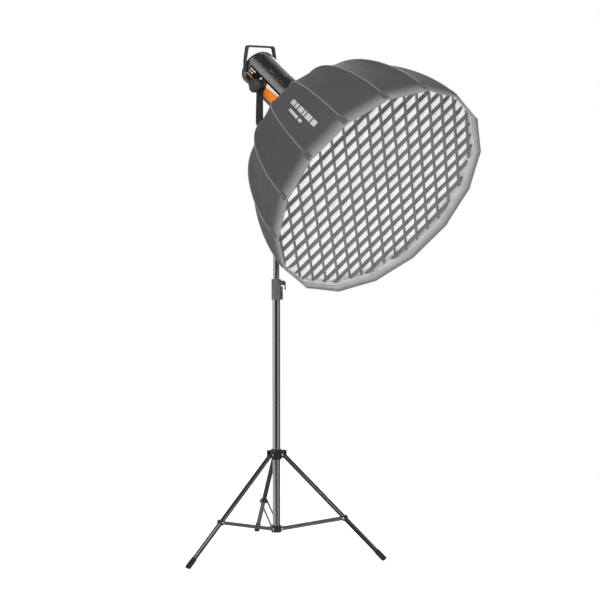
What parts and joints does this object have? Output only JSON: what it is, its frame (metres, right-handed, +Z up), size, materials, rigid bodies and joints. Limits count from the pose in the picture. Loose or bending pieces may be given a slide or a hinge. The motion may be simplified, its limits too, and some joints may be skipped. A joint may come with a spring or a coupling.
{
  "type": "monolight strobe",
  "caption": "Studio strobe head in a tilting yoke with a deep round gridded softbox, on a folding three-leg stand.",
  "frame": {"origin": "middle of the whole object's box, on the floor that its three feet stand on", "axes": "+Z up, the beam leaves along -Y and dips, +X along the tilt axis away from the tilt knob"},
  "size_m": [0.9156, 1.2542, 1.9909],
  "materials": {
    "mast_metal": "polished tube with a soft vertical reflection",
    "leg_metal": "glossy black enamel",
    "cast_grey": "satin grey moulding",
    "black_casting": "satin black moulding",
    "black_grip": "fine-ribbed black grip",
    "foot_rubber": "matt black rubber",
    "button_rubber": "grey silicone keys",
    "brass": "turned brass",
    "bright_steel": "turned and zinc-bright",
    "yoke_paint": "satin black powder coat",
    "body_paint": "metallic grey lacquer",
    "dark_trim": "satin charcoal",
    "side_livery": "orange flash on a gloss black panel",
    "rear_plastic": "fine-grained black plastic",
    "screen": "dark display window",
    "fan_plastic": "black fan plastic",
    "chassis_metal": "folded sheet",
    "board": "green solder mask",
    "capacitor_sleeve": "dark blue shrink sleeve",
    "clear_glass": "clear borosilicate",
    "rib_steel": "sprung steel rods",
    "softbox_fabric": "dark grey coated nylon, silver inside",
    "grid_fabric": "grey webbing strips",
    "diffuser_fabric": "white translucent nylon"
  },
  "bodies": {
    "lower_mast": {"mast_lower_tube": "mast_metal", "bottom_hub": "black_casting", "lower_clamp_body": "cast_grey", "lower_clamp_bolt": "brass"},
    "lower_lever": {"lower_clamp_lever": "cast_grey"},
    "collar": {"leg_collar": "black_casting"},
    "collar_lock": {"collar_knob": "black_grip"},
    "leg_1": {"leg_1": "leg_metal", "foot_1": "foot_rubber"},
    "leg_2": {"leg_2": "leg_metal", "foot_2": "foot_rubber"},
    "leg_3": {"leg_3": "leg_metal", "foot_3": "foot_rubber"},
    "brace_1": {"brace_1": "leg_metal"},
    "brace_2": {"brace_2": "leg_metal"},
    "brace_3": {"brace_3": "leg_metal"},
    "middle_mast": {"mast_middle_tube": "mast_metal", "upper_clamp_body": "cast_grey", "upper_clamp_bolt": "brass"},
    "upper_lever": {"upper_clamp_lever": "cast_grey"},
    "top_mast": {"mast_top_tube": "mast_metal", "spigot": "bright_steel"},
    "yoke": {"receiver": "black_casting", "yoke_bracket": "yoke_paint", "yoke_bolt": "bright_steel", "tilt_bolt": "bright_steel"},
    "receiver_lock": {"receiver_knob": "black_grip"},
    "tilt_lock": {"tilt_knob": "black_grip"},
    "head": {"body_shell": "body_paint", "rear_ring": "dark_trim", "rear_panel": "rear_plastic", "trunnion_left": "dark_trim", "trunnion_right": "dark_trim", "side_panel_left": "side_livery", "side_panel_right": "side_livery", "front_ring": "body_paint", "display": "screen", "mains_inlet": "black_grip", "fan_frame": "fan_plastic", "chassis": "chassis_metal", "circuit_board": "board", "flash_capacitor": "capacitor_sleeve", "reflector_plate": "chassis_metal", "flash_tube": "clear_glass", "modelling_lamp": "clear_glass", "glass_dome": "clear_glass"},
    "handle": {"carry_handle": "dark_trim"},
    "fan": {"fan_rotor": "fan_plastic"},
    "dial_body": {"dial": "black_grip"},
    "mode_button_body": {"mode_button": "button_rubber"},
    "test_button_body": {"test_button": "button_rubber"},
    "rocker": {"power_switch": "black_grip"},
    "latch": {"mount_latch": "black_grip"},
    "softbox": {"speed_ring": "dark_trim", "rib_cage": "rib_steel", "softbox_shell": "softbox_fabric", "inner_diffuser": "diffuser_fabric", "front_diffuser": "diffuser_fabric", "honeycomb_grid": "grid_fabric"}
  },
  "joints": [
    {"name": "collar_slide", "type": "slide", "parent": "lower_mast", "child": "collar", "axis": [0, 0, 1], "range_m": [0, 0.3101]},
    {"name": "leg_1_fold", "type": "hinge", "parent": "collar", "child": "leg_1", "pos_m": [-0.02074, 0.22242, 0.393], "axis": [0, -1, 0], "range_deg": [0, 46.97]},
    {"name": "leg_2_fold", "type": "hinge", "parent": "collar", "child": "leg_2", "pos_m": [0.02276, 0.19731, 0.393], "axis": [0.866, 0.5, 0], "range_deg": [0, 46.97]},
    {"name": "leg_3_fold", "type": "hinge", "parent": "collar", "child": "leg_3", "pos_m": [0.02276, 0.24754, 0.393], "axis": [-0.866, 0.5, 0], "range_deg": [0, 46.97]},
    {"name": "brace_1_fold", "type": "hinge", "parent": "lower_mast", "child": "brace_1", "pos_m": [-0.02074, 0.22242, 0.1], "axis": [0, -1, 0], "range_deg": [-77.32, 0]},
    {"name": "brace_2_fold", "type": "hinge", "parent": "lower_mast", "child": "brace_2", "pos_m": [0.02276, 0.19731, 0.1], "axis": [0.866, 0.5, 0], "range_deg": [-77.32, 0]},
    {"name": "brace_3_fold", "type": "hinge", "parent": "lower_mast", "child": "brace_3", "pos_m": [0.02276, 0.24754, 0.1], "axis": [-0.866, 0.5, 0], "range_deg": [-77.32, 0]},
    {"name": "collar_knob_turn", "type": "hinge", "parent": "collar", "child": "collar_lock", "pos_m": [0.00001, 0.20813, 0.393], "axis": [-0.5, -0.866, 0], "range_deg": [0, 360]},
    {"name": "lower_lever_swing", "type": "hinge", "parent": "lower_mast", "child": "lower_lever", "pos_m": [0.02879, 0.20458, 1.067], "axis": [-0.6561, -0.7547, 0], "range_deg": [0, 75]},
    {"name": "upper_lever_swing", "type": "hinge", "parent": "middle_mast", "child": "upper_lever", "pos_m": [0.00826, 0.24962, 1.535], "axis": [1, 0, 0], "range_deg": [0, 75]},
    {"name": "mast_middle_slide", "type": "slide", "parent": "lower_mast", "child": "middle_mast", "axis": [0, 0, 1], "range_m": [-0.38, 0.22]},
    {"name": "mast_top_slide", "type": "slide", "parent": "middle_mast", "child": "top_mast", "axis": [0, 0, 1], "range_m": [-0.045, 0.18]},
    {"name": "head_pan", "type": "hinge", "parent": "top_mast", "child": "yoke", "pos_m": [0.00826, 0.22242, 1.628], "axis": [0, 0, 1], "continuous": true},
    {"name": "receiver_knob_turn", "type": "hinge", "parent": "yoke", "child": "receiver_lock", "pos_m": [0.00826, 0.24242, 1.628], "axis": [0, 1, 0], "range_deg": [0, 360]},
    {"name": "tilt_knob_turn", "type": "hinge", "parent": "yoke", "child": "tilt_lock", "pos_m": [-0.09174, 0.22242, 1.83], "axis": [-1, 0, 0], "range_deg": [0, 360]},
    {"name": "head_tilt", "type": "hinge", "parent": "yoke", "child": "head", "pos_m": [0.00826, 0.22242, 1.83], "axis": [1, 0, 0], "range_deg": [-80, 3]},
    {"name": "handle_swing", "type": "hinge", "parent": "head", "child": "handle", "pos_m": [0.00826, 0.31791, 1.89587], "axis": [1, 0, 0], "range_deg": [-80, 55]},
    {"name": "fan_spin", "type": "hinge", "parent": "head", "child": "fan", "pos_m": [0.00826, 0.2998, 1.88338], "axis": [0, -0.8231, -0.5678], "continuous": true},
    {"name": "dial_turn", "type": "hinge", "parent": "head", "child": "dial_body", "pos_m": [0.00826, 0.33644, 1.89894], "axis": [0, -0.8231, -0.5678], "continuous": true},
    {"name": "mode_button_press", "type": "slide", "parent": "head", "child": "mode_button_body", "axis": [0, -0.8231, -0.5678], "range_m": [0, 0.0015], "stiffness_N_per_m": 600},
    {"name": "test_button_press", "type": "slide", "parent": "head", "child": "test_button_body", "axis": [0, -0.8231, -0.5678], "range_m": [0, 0.0015], "stiffness_N_per_m": 600},
    {"name": "power_rocker", "type": "hinge", "parent": "head", "child": "rocker", "pos_m": [-0.01874, 0.35266, 1.87368], "axis": [1, 0, 0], "range_deg": [-14, 0]},
    {"name": "latch_slide", "type": "slide", "parent": "head", "child": "latch", "axis": [0, -0.8231, -0.5678], "range_m": [0, 0.005], "stiffness_N_per_m": 500},
    {"name": "softbox_twist", "type": "hinge", "parent": "head", "child": "softbox", "pos_m": [0.00826, 0.08249, 1.73347], "axis": [0, -0.8231, -0.5678], "range_deg": [0, 35]}
  ],
  "couplings": [
    {"joint": "leg_1_fold", "follows": "collar_slide", "rad_per_m": 2.6372},
    {"joint": "leg_2_fold", "follows": "collar_slide", "rad_per_m": 2.6372},
    {"joint": "leg_3_fold", "follows": "collar_slide", "rad_per_m": 2.6372},
    {"joint": "brace_1_fold", "follows": "collar_slide", "rad_per_m": -4.3449},
    {"joint": "brace_2_fold", "follows": "collar_slide", "rad_per_m": -4.3449},
    {"joint": "brace_3_fold", "follows": "collar_slide", "rad_per_m": -4.3449}
  ]
}
